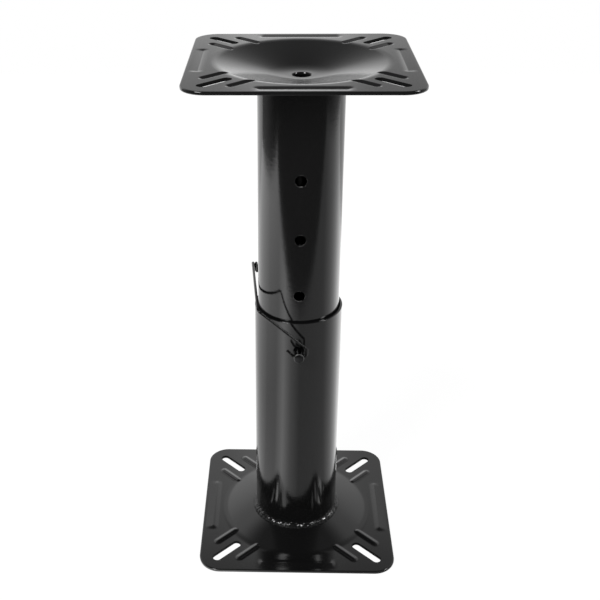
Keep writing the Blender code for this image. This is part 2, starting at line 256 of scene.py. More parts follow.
class PaintSettings(bpy.types.PropertyGroup):
    """Colours and gloss."""

    paint: FloatVectorProperty(
        name="Paint", description="Black coating", subtype="COLOR", size=3,
        default=(0.0045, 0.0045, 0.0046))
    plate_gloss: FloatProperty(
        name="Plate Roughness", description="Roughness of the plates", default=0.13)
    tube_gloss: FloatProperty(
        name="Tube Roughness", description="Roughness of the tubes", default=0.11)
    steel: FloatVectorProperty(
        name="Pin Steel", description="Plated pin", subtype="COLOR", size=3,
        default=(0.035, 0.035, 0.036))
    # Lighter steel round the pin holes: bare steel where the paint is worn, and a painted highlight on the
    # rounded rims
    hole_rim_wear_and_highlight: FloatVectorProperty(
        name="Hole Rim Wear and Highlight", description="Bare steel and painted highlight round the pin holes", subtype="COLOR", size=3,
        default=(0.3, 0.3, 0.295))
    # Painted highlight: a lighter colour for the rounded rims at the pin's ends
    pin_rim_highlight: FloatVectorProperty(
        name="Pin Rim Highlight", description="Painted highlight on the pin's rounded ends", subtype="COLOR", size=3,
        default=(0.045, 0.045, 0.044))
    wire: FloatVectorProperty(
        name="Wire", description="Blackened spring wire", subtype="COLOR", size=3,
        default=(0.004, 0.004, 0.004))


class StageSettings(bpy.types.PropertyGroup):
    """The camera, the lamps and the table."""

    focal: FloatProperty(name="Focal Length", description="Camera lens in millimetres", default=57.88)
    elevation: FloatProperty(name="Elevation", description="Camera's dip in degrees", default=26.55)
    azimuth: FloatProperty(name="Azimuth", description="Camera's swing in degrees", default=1.93)
    roll: FloatProperty(name="Roll", description="Camera's roll in degrees", default=-0.58)
    distance: FloatProperty(
        name="Distance", description="Camera to its target", default=0.8317, unit="LENGTH")
    target_right: FloatProperty(
        name="Target Right", description="Target's place across", default=-0.0401, unit="LENGTH")
    target_height: FloatProperty(
        name="Target Height", description="Target's height", default=0.2607, unit="LENGTH")
    shift_x: FloatProperty(name="Shift X", description="Lens shift across", default=0.0792)
    shift_y: FloatProperty(name="Shift Y", description="Lens shift upwards", default=-0.05)
    table_front: FloatProperty(
        name="Table Front", description="Front edge of the pale table", default=-0.48, unit="LENGTH")
    table_left: FloatProperty(
        name="Table Left", description="Left edge of the pale table", default=-0.98, unit="LENGTH")
    table_right: FloatProperty(
        name="Table Right", description="Right edge of the pale table", default=1.25, unit="LENGTH")
    table_back: FloatProperty(
        name="Table Back", description="Back edge of the pale table", default=1.60, unit="LENGTH")
    backdrop: FloatProperty(
        name="Backdrop", description="From the post back to the backdrop", default=0.60, unit="LENGTH")


def settings(group):
    """One of the scene's groups of settings."""
    return getattr(bpy.context.scene, "pedestal_" + group)


def deselect():
    """Leave edit mode and select nothing."""
    if bpy.context.object and bpy.context.object.mode != "OBJECT":
        bpy.ops.object.mode_set(mode="OBJECT")
    bpy.ops.object.select_all(action="DESELECT")


def make_active(obj):
    """Select one object alone and make it the active one."""
    deselect()
    obj.select_set(True)
    bpy.context.view_layer.objects.active = obj


def object_from(name, bm):
    """Link a mesh made in code, with its faces pointing out."""
    bmesh.ops.recalc_face_normals(bm, faces=bm.faces)
    mesh = bpy.data.meshes.new(name)
    bm.to_mesh(mesh)
    bm.free()
    obj = bpy.data.objects.new(name, mesh)
    bpy.context.collection.objects.link(obj)
    return obj


def apply_modifiers(obj):
    """Apply an object's modifiers in order."""
    make_active(obj)
    for modifier in list(obj.modifiers):
        bpy.ops.object.modifier_apply(modifier=modifier.name)


def cut_with(obj, tools):
    """Cut an object with solid tools, which are used up."""
    for tool in tools:
        modifier = obj.modifiers.new("Cut", "BOOLEAN")
        modifier.operation = "DIFFERENCE"
        modifier.solver = "EXACT"
        modifier.object = tool
    apply_modifiers(obj)
    for tool in tools:
        bpy.data.objects.remove(tool, do_unlink=True)


def true_round(obj, radii):
    """Shade a tube's walls as true cylinders, whatever slivers its holes leave."""
    mesh = obj.data
    normals = [Vector() for _ in mesh.loops]
    for face in mesh.polygons:
        for index in face.loop_indices:
            place = mesh.vertices[mesh.loops[index].vertex_index].co
            way = Vector((place.x, place.y, 0)).normalized()
            radius = math.hypot(place.x, place.y)
            facing = face.normal.dot(way)
            if abs(facing) > 0.98 and min(abs(radius - wall) for wall in radii) < 0.00002:
                normals[index] = way if facing > 0 else -way
    mesh.normals_split_custom_set(normals)


def round_edges(obj, width, segments=2):
    """Round an object's sharp edges."""
    modifier = obj.modifiers.new("Round", "BEVEL")
    modifier.width = width
    modifier.segments = segments
    modifier.limit_method = "ANGLE"
    modifier.angle_limit = math.radians(50)
    modifier.harden_normals = False
    apply_modifiers(obj)


def finish_piece(obj, material, body, slot_name, *nodes):
    """Give a finished piece its shading, material and body, and hide its CAD parts; its slot name is not
    used.
    """
    make_active(obj)
    bpy.ops.object.transform_apply(location=True, rotation=True, scale=True)
    bpy.ops.object.shade_smooth_by_angle(angle=SMOOTH_ANGLE)
    obj.data.materials.clear()
    obj.data.materials.append(material)
    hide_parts(*nodes)
    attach(obj, body)


def add_nodes(material, *kinds):
    """Add nodes of these kinds to a material's tree."""
    tree = material.node_tree
    return [tree.nodes.new(kind) for kind in kinds]


def coating(name, roughness, peel=0.035, stretch=(1, 1, 1)):
    """Gloss black powder coat: orange peel that can be drawn out, faint cloudiness and dust nibs."""
    material = bpy.data.materials.new(name)
    material.use_nodes = True
    tree = material.node_tree
    shader = tree.nodes["Principled BSDF"]
    shader.inputs["Base Color"].default_value = (*settings("paint").paint, 1)
    shader.inputs["IOR"].default_value = 1.5
    place, drawn, cloud, ramp, fine, nibs, add, bump = add_nodes(
        material, "ShaderNodeTexCoord", "ShaderNodeMapping", "ShaderNodeTexNoise", "ShaderNodeMapRange",
        "ShaderNodeTexNoise", "ShaderNodeTexVoronoi", "ShaderNodeMath", "ShaderNodeBump")
    drawn.inputs["Scale"].default_value = stretch
    cloud.inputs["Scale"].default_value = CLOUD_SCALE
    cloud.inputs["Detail"].default_value = 3
    ramp.inputs["To Min"].default_value = roughness * 0.85
    ramp.inputs["To Max"].default_value = roughness * 1.2
    fine.inputs["Scale"].default_value = PEEL_SCALE
    fine.inputs["Detail"].default_value = 1
    nibs.inputs["Scale"].default_value = NIB_SCALE
    add.operation = "MULTIPLY_ADD"
    add.inputs[1].default_value = 0.25
    bump.inputs["Strength"].default_value = peel
    bump.inputs["Distance"].default_value = 0.0004
    link = tree.links.new
    link(place.outputs["Object"], drawn.inputs["Vector"])
    for texture, source in ((cloud, place.outputs["Object"]), (fine, drawn.outputs["Vector"]),
                            (nibs, place.outputs["Object"])):
        link(source, texture.inputs["Vector"])
    link(cloud.outputs["Fac"], ramp.inputs["Value"])
    link(ramp.outputs["Result"], shader.inputs["Roughness"])
    link(nibs.outputs["Distance"], add.inputs[0])
    link(fine.outputs["Fac"], add.inputs[2])
    link(add.outputs["Value"], bump.inputs["Height"])
    link(bump.outputs["Normal"], shader.inputs["Normal"])
    return material


def turned_steel(name, colour, metal, roughness, axis_scale, depth):
    """Plated or blackened steel with fine drawn or turned marks along one axis."""
    material = bpy.data.materials.new(name)
    material.use_nodes = True
    tree = material.node_tree
    shader = tree.nodes["Principled BSDF"]
    shader.inputs["Base Color"].default_value = (*colour, 1)
    shader.inputs["Metallic"].default_value = metal
    shader.inputs["IOR"].default_value = 1.28
    place, stretch, marks, ramp, bump = add_nodes(
        material, "ShaderNodeTexCoord", "ShaderNodeMapping", "ShaderNodeTexNoise",
        "ShaderNodeMapRange", "ShaderNodeBump")
    stretch.inputs["Scale"].default_value = axis_scale
    marks.inputs["Scale"].default_value = MARK_SCALE
    marks.inputs["Detail"].default_value = 4
    ramp.inputs["To Min"].default_value = roughness * 0.8
    ramp.inputs["To Max"].default_value = roughness * 1.3
    bump.inputs["Strength"].default_value = depth
    bump.inputs["Distance"].default_value = 0.0002
    link = tree.links.new
    link(place.outputs["Object"], stretch.inputs["Vector"])
    link(stretch.outputs["Vector"], marks.inputs["Vector"])
    link(marks.outputs["Fac"], ramp.inputs["Value"])
    link(ramp.outputs["Result"], shader.inputs["Roughness"])
    link(marks.outputs["Fac"], bump.inputs["Height"])
    link(bump.outputs["Normal"], shader.inputs["Normal"])
    return material


def eased(share):
    """A soft step from 1 to 0 as a share goes from 0 to 1."""
    return (1 + math.cos(math.pi * min(1, max(0, share)))) / 2


def dish_rise(radius, plate):
    """The dish's height at a radius: a cone with a rounded foot and a rounded crown."""
    crown = plate.dish_cone - plate.dish_flat
    slope = plate.dish_depth / (plate.dish_radius - plate.dish_cone + (crown - plate.dish_foot) / 2)
    inwards = plate.dish_radius - radius
    if inwards <= 0:
        return 0
    if inwards < plate.dish_foot:
        return slope * inwards ** 2 / (2 * plate.dish_foot)
    if radius > plate.dish_cone:
        return slope * (inwards - plate.dish_foot / 2)
    return plate.dish_depth - slope * max(0, radius - plate.dish_flat) ** 2 / (2 * crown)


def rib_rise(x, y, plate):
    """A rib's height: a soft round-ended bar along the diagonal that runs into the dish."""
    along = (x + y) / math.sqrt(2)
    aside = abs(x - y) / math.sqrt(2)
    half = plate.rib_width / 2
    beyond = max(0, abs(along - plate.rib_reach) - plate.rib_length / 2 + half)
    off_line = math.hypot(beyond, aside - plate.rib_spacing / 2) / half
    return plate.rib_height * eased(off_line)


def bead_rise(across, along, plate):
    """A side bead's height: a low ridge, sharper towards the dish, that ends short of the ribs."""
    off_line = across - plate.bead_reach
    outside = off_line > 0
    share = max(0, 1 - abs(off_line) / (plate.bead_outer if outside else plate.bead_inner))
    end = eased((along - plate.bead_length / 2) / BEAD_END + 1)
    return plate.bead_height * share ** (BEAD_OUTER_BOW if outside else BEAD_INNER_BOW) * end


def pressed_rise(x, y, plate):
    """How far the pressing stands off its flat face at a place."""
    across, along = max(abs(x), abs(y)), min(abs(x), abs(y))
    dish = dish_rise(math.hypot(x, y), plate)
    rib = rib_rise(across, along, plate)
    return (dish ** 3 + rib ** 3) ** (1 / 3) + bead_rise(across, along, plate)


def pressing_eighth(plate, half):
    """Lines across the rim from a side's middle up to a diagonal: (foot, finish, way out).

    Beside the slots they run along the ribs, and towards the side's middle they fan out.
    """
    ahead, left = Vector((1, 1)).normalized(), Vector((-1, 1)).normalized()
    middle = (half - plate.corner) * math.sqrt(2)
    last = half - plate.corner_span * math.sqrt(2)
    turn = math.pi / 4 - math.asin(plate.corner_span / plate.dish_radius)
    lines = []
    for i in range(plate.side_steps):
        share = i / plate.side_steps
        foot = Vector((math.cos(turn * share), math.sin(turn * share))) * plate.dish_radius
        lines.append((foot, Vector((half, last * share)), Vector((1, 0))))
    for i in range(plate.rib_steps):
        aside = plate.corner_span * (i / plate.rib_steps - 1)
        foot = ahead * math.sqrt(plate.dish_radius ** 2 - aside ** 2) + left * aside
        if -aside > plate.corner * math.sin(math.pi / 4):
            lines.append((foot, ahead * (half * math.sqrt(2) + aside) + left * aside, Vector((1, 0))))
            continue
        way = (ahead * math.sqrt(plate.corner ** 2 - aside ** 2) + left * aside) / plate.corner
        lines.append((foot, ahead * middle + way * plate.corner, way))
    return lines


def pressing_lines(plate, half):
    """Lines across the rim all the way round, from the +X side's middle."""
    eighth = pressing_eighth(plate, half)
    ahead = Vector((1, 1)).normalized()
    middle = (half - plate.corner) * math.sqrt(2)
    diagonal = (ahead * plate.dish_radius, ahead * (middle + plate.corner), ahead)
    mirrored = [tuple(Vector((v.y, v.x)) for v in line) for line in eighth[:0:-1]]
    lines = []
    for quarter in range(4):
        turn = Matrix.Rotation(quarter * math.pi / 2, 2)
        lines += [tuple(turn @ v for v in line) for line in eighth + [diagonal] + mirrored]
    return lines


def pressing_rings(plate):
    """The pressing's rings from the edge in: each with what places it and its lift in the sheet."""
    edge = plate.edge
    rings = []
    for step in range(4):
        turn = math.pi / 2 * step / 3
        rings.append(("rim", edge * (1 - math.cos(turn)), plate.sheet - edge + edge * math.sin(turn)))
    rings += [("span", 1 - i / 50, plate.sheet) for i in range(1, 50)]
    foot, cone, crown = plate.dish_radius, plate.dish_cone, plate.dish_cone - plate.dish_flat
    inner = plate.rib_reach - plate.rib_length / 2 - plate.rib_width / 2
    rings += [("circle", foot + (inner - foot) * i / 22, plate.sheet) for i in range(23)]
    rings += [("circle", inner + (cone - inner) * i / 7, plate.sheet) for i in range(1, 8)]
    rings += [("circle", cone - crown * i / 8, plate.sheet) for i in range(1, 9)]
    rings.append(("circle", plate.hole_radius + edge, plate.sheet))
    rings.append(("circle", plate.hole_radius + edge / 3, plate.sheet - edge / 3))
    rings.append(("circle", plate.hole_radius, plate.sheet - edge))
    return rings


def ring_point(kind, value, line, edge):
    """The place in plan where one ring crosses one line."""
    foot, finish, way = line
    if kind == "rim":
        return finish - way * value
    if kind == "span":
        return foot.lerp(finish - way * edge, value)
    return foot.normalized() * value


def pressing(plate, half):
    """The pressed plate with its raised side up and its flat face at zero, without its slots."""
    rings = pressing_rings(plate)
    lines = pressing_lines(plate, half)
    bm = bmesh.new()
    loops = []
    for under in (False, True):
        for kind, value, lift in (rings[::-1] if under else rings):
            height = plate.sheet - lift if under else lift
            loop = []
            for line in lines:
                place = ring_point(kind, value, line, plate.edge)
                loop.append(bm.verts.new((place.x, place.y, height + pressed_rise(place.x, place.y, plate))))
            loops.append(loop)
    for one, other in zip(loops, loops[1:] + loops[:1]):
        for i in range(len(lines)):
            j = (i + 1) % len(lines)
            bm.faces.new((one[i], one[j], other[j], other[i]))
    return object_from("pressing", bm)


def slot_tool(plate, quarter):
    """A solid round-ended block in the place of one bolt slot, flared where the punch breaks out."""
    turn = Matrix.Rotation(math.pi / 4 + quarter * math.pi / 2, 4, "Z")
    reach = (plate.slot_length - plate.slot_width) / 2
    bm = bmesh.new()
    rings = []
    for height, flare in ((-PUNCH_BELOW, PUNCH_BELOW + PUNCH_CHAMFER), (PUNCH_CHAMFER, 0),
                          (plate.sheet - plate.slot_flare, 0),
                          (plate.sheet + PUNCH_ABOVE, plate.slot_flare + PUNCH_ABOVE)):
        ring = []
        for i in range(PUNCH_POINTS):
            a = 2 * math.pi * (i + 0.5) / PUNCH_POINTS
            side = math.copysign(reach, math.cos(a))
            size = plate.slot_width / 2 + flare
            place = Vector((plate.slot_reach + side + size * math.cos(a), size * math.sin(a), height))
            ring.append(bm.verts.new(turn @ place))
        rings.append(ring)
    for one, other in zip(rings, rings[1:]):
        for i in range(PUNCH_POINTS):
            j = (i + 1) % PUNCH_POINTS
            bm.faces.new((one[i], one[j], other[j], other[i]))
    bm.faces.new(rings[0])
    bm.faces.new(rings[-1])
    return object_from("slot_punch", bm)


def in_slot(place, plate):
    """Whether a place on a plate is inside one of its four bolt slots."""
    off_line = abs(abs(place.x) - abs(place.y)) / math.sqrt(2)
    along = abs((abs(place.x) + abs(place.y)) / math.sqrt(2) - plate.slot_reach)
    return off_line < plate.slot_width / 2 + 0.0004 and along < plate.slot_length / 2 + 0.0004


def mark_faces(obj, material, chosen):
    """Give some of an object's faces a second material."""
    obj.data.materials.append(material)
    last = len(obj.data.materials) - 1
    for face in obj.data.polygons:
        if chosen(face):
            face.material_index = last


def dull_finish(name, colour, specular, scale, smoothest, roughest):
    """A dull finish for edges, with an uneven roughness."""
    material = bpy.data.materials.new(name)
    material.use_nodes = True
    tree = material.node_tree
    shader = tree.nodes["Principled BSDF"]
    shader.inputs["Base Color"].default_value = (*colour, 1)
    shader.inputs["Specular IOR Level"].default_value = specular
    place, grain, ramp = add_nodes(
        material, "ShaderNodeTexCoord", "ShaderNodeTexNoise", "ShaderNodeMapRange")
    grain.inputs["Scale"].default_value = scale
    tree.links.new(place.outputs["Object"], grain.inputs["Vector"])
    tree.links.new(ranged(ramp, grain.outputs["Fac"], 0, 1, smoothest, roughest),
                   shader.inputs["Roughness"])
    return material


def thin_coat_and_painted_shade():
    """The thin dull coat on a punched edge, made to barely reflect: painted shade for the shaded floor under
    the plate that the edge would mirror.
    """
    return dull_finish("Thin coat and painted shade on cut edges", settings("paint").paint, 0.05, SLOT_SHADE_SCALE, 0.5, 0.75)


def highlight_and_wear_steel(colour):
    """Dull light steel on an edge: a painted highlight, and bare steel where the finish is worn off."""
    return dull_finish("Painted highlight and worn edge", colour, 0.5, RIM_HIGHLIGHT_SCALE, 0.3, 0.55)


class PEDESTAL_OT_plates(bpy.types.Operator):
    """Press both plates from sheet and coat them"""

    bl_idname = "pedestal.plates"
    bl_label = "Pressed Plates"

    def execute(self, context):
        plate = settings("plate")
        half = BASE_BOX[1][0]
        base = pressing(plate, half)
        base.name = "base_plate_pressing"
        cut_with(base, [slot_tool(plate, quarter) for quarter in range(4)])
        seat = base.copy()
        seat.data = base.data.copy()
        seat.name = "seat_plate_pressing"
        context.collection.objects.link(seat)
        seat.matrix_world = Matrix.Translation((0, 0, SEAT_BOX[1][2])) @ Matrix.Rotation(math.pi, 4, "X")
        gloss = settings("paint").plate_gloss
        finish_piece(base, coating("Base plate coating", gloss), "lower_post", "plate_paint", "base_plate")
        finish_piece(seat, coating("Top plate coating", gloss), "upper_post", "plate_paint", "seat_plate")
        for obj in (base, seat):
            # Painted shade: the slot walls barely reflect
            mark_faces(obj, thin_coat_and_painted_shade(), lambda face: abs(face.normal.z) < 0.9 and in_slot(
                face.center, plate))
        return {"FINISHED"}


def turned_tube(name, outer, bore, foot, head, tube):
    """A tube turned by spinning its wall's outline once round, with rounded rims."""
    ease = tube.rim_round
    outline = [(outer, foot + ease), (outer, head - ease)]
    for middle, start in (((outer - ease, head - ease), 0), ((bore + ease, head - ease), 90)):
        outline += [(middle[0] + ease * math.cos(math.radians(start + turn)),
                     middle[1] + ease * math.sin(math.radians(start + turn))) for turn in (30, 60, 90)]
    outline += [(bore, foot + ease), (bore + ease, foot), (outer - ease, foot)]
    mesh = bpy.data.meshes.new(name)
    mesh.from_pydata([(radius, 0, z) for radius, z in outline],
                     [(i, (i + 1) % len(outline)) for i in range(len(outline))], [])
    obj = bpy.data.objects.new(name, mesh)
    bpy.context.collection.objects.link(obj)
    make_active(obj)
    bpy.ops.object.mode_set(mode="EDIT")
    bpy.ops.mesh.select_all(action="SELECT")
    bpy.ops.mesh.spin(steps=tube.steps, angle=2 * math.pi, center=(0, 0, 0), axis=(0, 0, 1))
    bpy.ops.mesh.select_all(action="SELECT")
    bpy.ops.mesh.remove_doubles(threshold=0.00001)
    bpy.ops.mesh.normals_make_consistent(inside=False)
    bpy.ops.object.mode_set(mode="OBJECT")
    return obj


def pin_hole_tool(height, radius):
    """A level round bar from front to back, in the place of a pair of pin holes."""
    deselect()
    bpy.ops.mesh.primitive_cylinder_add(
        vertices=64, radius=radius, depth=0.2, location=(0, 0, height), rotation=(math.pi / 2, 0, 0))
    return bpy.context.object


def on_hole_rim(face, box):
    """Whether a tube's face is on the rounding of a pin hole."""
    from_ends = min(face.center.z - box[0][2], box[1][2] - face.center.z)
    return from_ends > 0.003 and abs(face.center.x) < 0.007 and 0.3 < abs(face.normal.y) < 0.93


class PEDESTAL_OT_tubes(bpy.types.Operator):
    """Turn the two tubes of the post, drill them and coat them"""

    bl_idname = "pedestal.tubes"
    bl_label = "Post Tubes"

    def execute(self, context):
        tube = settings("tube")
        gloss = settings("paint").tube_gloss
        rim = settings("paint").hole_rim_wear_and_highlight
        parts = (("lower_tube_shell", LOWER_BOX, 1, FOOT_GAP, 0, "lower_post", "lower_tube"),
                 ("upper_tube_shell", UPPER_BOX, tube.hole_count, 0, HEAD_GAP, "upper_post", "upper_tube"))
        for name, box, holes, foot_gap, head_gap, body, node in parts:
            outer = box[1][0]
            obj = turned_tube(name, outer, outer - tube.wall, box[0][2] + foot_gap,
                              box[1][2] - head_gap, tube)
            cut_with(obj, [pin_hole_tool(CROSS_HOLE.z + tube.hole_pitch * i, tube.hole_radius)
                           for i in range(holes)])
            round_edges(obj, HOLE_ROUND)
            coat = coating(node + " coating", gloss, 0.07, (0.25, 0.25, 1))
            finish_piece(obj, coat, body, "tube_paint", node)
            # The pin holes' rounded rims: worn bare steel with a painted highlight
            mark_faces(obj, highlight_and_wear_steel(rim), lambda face: on_hole_rim(face, box))
            true_round(obj, (outer, outer - tube.wall))
        return {"FINISHED"}


def weld_ring(name, tube_radius, plate, tube, seed):
    """A fillet weld round a tube on the pressing's dome, laid in uneven overlapping ripples."""
    bm = bmesh.new()
    inner = tube_radius - WELD_SINK
    loops = [[] for _ in range(WELD_SECTION)]
    root = plate.sheet + pressed_rise(inner, 0, plate) - WELD_ROOT
    turns = [2 * math.pi * i / WELD_STEPS for i in range(WELD_STEPS)]
    for a in turns:
        way = Vector((math.cos(a), math.sin(a), 0))
        wander = noise.noise(way * 4 + Vector((seed, 0, 0)))
        leg = tube.weld_leg * (1 + WELD_WANDER * wander)
        for j in range(WELD_SECTION):
            around = math.radians(-25 + 125 * j / (WELD_SECTION - 1))
            lag = WELD_LAG * math.cos(around)
            ripple = abs(math.sin(a * WELD_RIPPLES + lag + wander * 5))
            lump = noise.noise(Vector((way.x * 24, way.y * 24, j * 0.45 + seed)))
            grain = noise.noise(Vector((way.x * 70, way.y * 70, j * 0.9 + seed)))
            size = leg * (1 + WELD_RIPPLE * ripple + WELD_LUMP * lump + WELD_GRAIN * grain)
            radius = inner + size * math.cos(around)
            base = plate.sheet + pressed_rise(radius, 0, plate)
            loops[j].append(bm.verts.new((radius * way.x, radius * way.y, base + size * math.sin(around))))
    loops.append([bm.verts.new((inner * math.cos(a), inner * math.sin(a), root)) for a in turns])
    for one, other in zip(loops, loops[1:] + loops[:1]):
        for i in range(WELD_STEPS):
            j = (i + 1) % WELD_STEPS
            bm.faces.new((one[i], one[j], other[j], other[i]))
    return object_from(name, bm)


class PEDESTAL_OT_welds(bpy.types.Operator):
    """Lay the fillet welds between the tubes and the plates"""

    bl_idname = "pedestal.welds"
    bl_label = "Welds"

    def execute(self, context):
        plate, tube = settings("plate"), settings("tube")
        material = coating("Weld coating", 0.05, 0.02)
        base = weld_ring("base_weld_bead", LOWER_BOX[1][0], plate, tube, 3.1)
        finish_piece(base, material, "lower_post", "weld_paint", "base_weld")
        seat = weld_ring("seat_weld_bead", UPPER_BOX[1][0], plate, tube, 8.4)
        seat.matrix_world = Matrix.Translation((0, 0, SEAT_BOX[1][2])) @ Matrix.Rotation(math.pi, 4, "X")
        finish_piece(seat, material, "upper_post", "weld_paint", "seat_weld")
        return {"FINISHED"}


class PEDESTAL_OT_lock_pin(bpy.types.Operator):
    """Turn the lock pin, chamfer its ends and drill its cross hole"""

    bl_idname = "pedestal.lock_pin"
    bl_label = "Lock Pin"

    def execute(self, context):
        radius = PIN_BOX[1][0]
        length = PIN_BOX[1][1] - PIN_BOX[0][1]
        middle = (0, (PIN_BOX[1][1] + PIN_BOX[0][1]) / 2, CROSS_HOLE.z)
        deselect()
        bpy.ops.mesh.primitive_cylinder_add(
            vertices=96, radius=radius, depth=length, location=middle, rotation=(math.pi / 2, 0, 0))
        pin = context.object
        pin.name = "lock_pin_bar"
        round_edges(pin, PIN_ROUND, 3)
        deselect()
        bpy.ops.mesh.primitive_cylinder_add(
            vertices=40, radius=settings("wire").radius + CROSS_HOLE_PLAY, depth=0.03,
            location=CROSS_HOLE, rotation=(0, math.pi / 2, 0))
        cut_with(pin, [context.object])
        material = turned_steel("Pin steel", settings("paint").steel, 1, 0.2, (1, 8, 1), 0.12)
        finish_piece(pin, material, "pin_body", "pin_steel", "lock_pin")
        # Painted highlight on the rounded rims at the pin's ends, in a lighter and duller steel
        painted_pin_highlight = highlight_and_wear_steel(settings("paint").pin_rim_highlight)
        mark_faces(pin, painted_pin_highlight, lambda face: 0.2 < abs(face.normal.y) < 0.95)
        return {"FINISHED"}


def arc_points(before, corner, after, radius, steps=8):
    """Points on the arc that rounds a corner of a path."""
    back = (before - corner).normalized()
    on = (after - corner).normalized()
    half_angle = back.angle(on) / 2
    length = radius / math.tan(half_angle)
    middle = corner + (back + on).normalized() * (radius / math.sin(half_angle))
    start = corner + back * length - middle
    end = corner + on * length - middle
    sweep = start.angle(end)
    points = []
    for i in range(steps + 1):
        share = i / steps
        points.append(middle + (start * math.sin((1 - share) * sweep)
                                + end * math.sin(share * sweep)) / math.sin(sweep))
    return points


def wire_path(wire):
    """The latch wire's centre line from its tail to its coil and the drop after it."""
    tail_bend = Vector((-wire.side + wire.radius, 0, 0))
    tail = tail_bend + Vector((-0.0045, 0, 0.0052))
    heel = Vector((wire.side, 0, 0))
    shoulder = Vector((wire.side, 0, wire.heel))
    front = Vector((wire.front_x, 0, wire.rise))
    coil = Vector((wire.rear_x, wire.reach, wire.rise))
    points = [tail]
    points += arc_points(tail, tail_bend, heel, wire.bend)
    points += arc_points(tail_bend, heel, shoulder, wire.bend)
    points += arc_points(heel, shoulder, front, wire.bend)
    points += arc_points(shoulder, front, coil, wire.corner_bend)
    steps = int(wire.coil_turns * 32)
    for i in range(steps + 1):
        turn = i / 32
        a = 2 * math.pi * turn
        points.append(coil + Vector((wire.coil_pitch * turn, math.sin(a) * wire.coil_radius,
                                     (math.cos(a) - 1) * wire.coil_radius)))
    points.append(points[-1] - Vector((0, 0, wire.drop)))
    return [CROSS_HOLE + point for point in points]


class PEDESTAL_OT_latch_wire(bpy.types.Operator):
    """Bend the latch wire round its path"""

    bl_idname = "pedestal.latch_wire"
    bl_label = "Latch Wire"

    def execute(self, context):
        wire = settings("wire")
        curve = bpy.data.curves.new("latch_wire_bar", "CURVE")
        curve.dimensions = "3D"
        curve.bevel_depth = wire.radius
        curve.bevel_resolution = 6
        curve.use_fill_caps = True
        path = wire_path(wire)
        spline = curve.splines.new("POLY")
        spline.points.add(len(path) - 1)
        for point, place in zip(spline.points, path):
            point.co = (*place, 1)
        obj = bpy.data.objects.new("latch_wire_bar", curve)
        context.collection.objects.link(obj)
        make_active(obj)
        bpy.ops.object.convert(target="MESH")
        obj = context.object
        bpy.ops.object.mode_set(mode="EDIT")
        bpy.ops.mesh.select_all(action="SELECT")
        bpy.ops.mesh.remove_doubles(threshold=0.00001)
        bpy.ops.object.mode_set(mode="OBJECT")
        material = turned_steel("Wire steel", settings("paint").wire, 0, 0.06, (1, 1, 1), 0.01)
        finish_piece(obj, material, "wire_body", "wire_steel", "latch_wire")
        return {"FINISHED"}


def area_lamp(name, place, size, power):
    """A soft lamp that looks at the post."""
    data = bpy.data.lights.new(name, "AREA")
    data.shape = "RECTANGLE"
    data.size, data.size_y = size
    data.energy = power
    lamp = bpy.data.objects.new(name, data)
    bpy.context.collection.objects.link(lamp)
    lamp.location = place
    lamp.rotation_euler = (Vector(LAMP_TARGET) - Vector(place)).to_track_quat("-Z", "Y").to_euler()


def ramp_node(tree, stops, scale, low=0, high=1):
    """A ramp of plain greys at these places from low to high, as strengths up to the scale."""
    ramp = tree.nodes.new("ShaderNodeValToRGB")
    elements = ramp.color_ramp.elements
    while len(elements) < len(stops):
        elements.new(0.5)
    for element, (place, strength) in zip(elements, stops):
        element.position = (place - low) / (high - low)
        element.color = (strength / scale, strength / scale, strength / scale, 1)
    return ramp


def ranged(node, source, from_min, from_max, to_min, to_max):
    """Set a map range node up and return its result."""
    for name, value in (("From Min", from_min), ("From Max", from_max),
                        ("To Min", to_min), ("To Max", to_max)):
        node.inputs[name].default_value = value
    node.id_data.links.new(source, node.inputs["Value"])
    return node.outputs["Result"]


def backdrop_material():
    """A pale backdrop seen only in gloss, whose painted light fades upwards, with a soft painted pool of
    light in its middle.
    """
    material = bpy.data.materials.new("Backdrop")
    material.use_nodes = True
    tree = material.node_tree
    tree.nodes.clear()
    link = tree.links.new
    place, split, aside, beyond, height = add_nodes(
        material, "ShaderNodeTexCoord", "ShaderNodeSeparateXYZ", "ShaderNodeMath",
        "ShaderNodeMapRange", "ShaderNodeMath")
    link(place.outputs["Object"], split.inputs["Vector"])
    aside.operation = "ABSOLUTE"
    link(split.outputs["X"], aside.inputs[0])
    height.operation = "SUBTRACT"
    link(split.outputs["Z"], height.inputs[0])
    link(ranged(beyond, aside.outputs["Value"], *BACKDROP_SIDES), height.inputs[1])
    low, high = BACKDROP[0][0], BACKDROP[-1][0]
    up = tree.nodes.new("ShaderNodeMapRange")
    ramp = ramp_node(tree, BACKDROP, BACKDROP_STRENGTH, low, high)
    link(ranged(up, height.outputs["Value"], low, high, 0, 1), ramp.inputs["Fac"])
    pool, fade, both, lean, lit, out, glow = add_nodes(
        material, "ShaderNodeMapRange", "ShaderNodeMapRange", "ShaderNodeMath", "ShaderNodeMapRange",
        "ShaderNodeMath", "ShaderNodeOutputMaterial", "ShaderNodeEmission")
    lit.operation = "MULTIPLY"
    pool.interpolation_type = fade.interpolation_type = "SMOOTHSTEP"
    both.operation = "MULTIPLY_ADD"
    link(ranged(pool, aside.outputs["Value"], *BACKDROP_POOL), both.inputs[0])
    link(ranged(fade, split.outputs["Z"], *BACKDROP_POOL_TOP), both.inputs[1])
    link(ramp.outputs["Color"], both.inputs[2])
    link(both.outputs["Value"], lit.inputs[0])
    link(ranged(lean, split.outputs["X"], *BACKDROP_LEFT_LIGHT), lit.inputs[1])
    link(lit.outputs["Value"], glow.inputs["Color"])
    glow.inputs["Strength"].default_value = BACKDROP_STRENGTH
    link(glow.outputs["Emission"], out.inputs["Surface"])
    return material


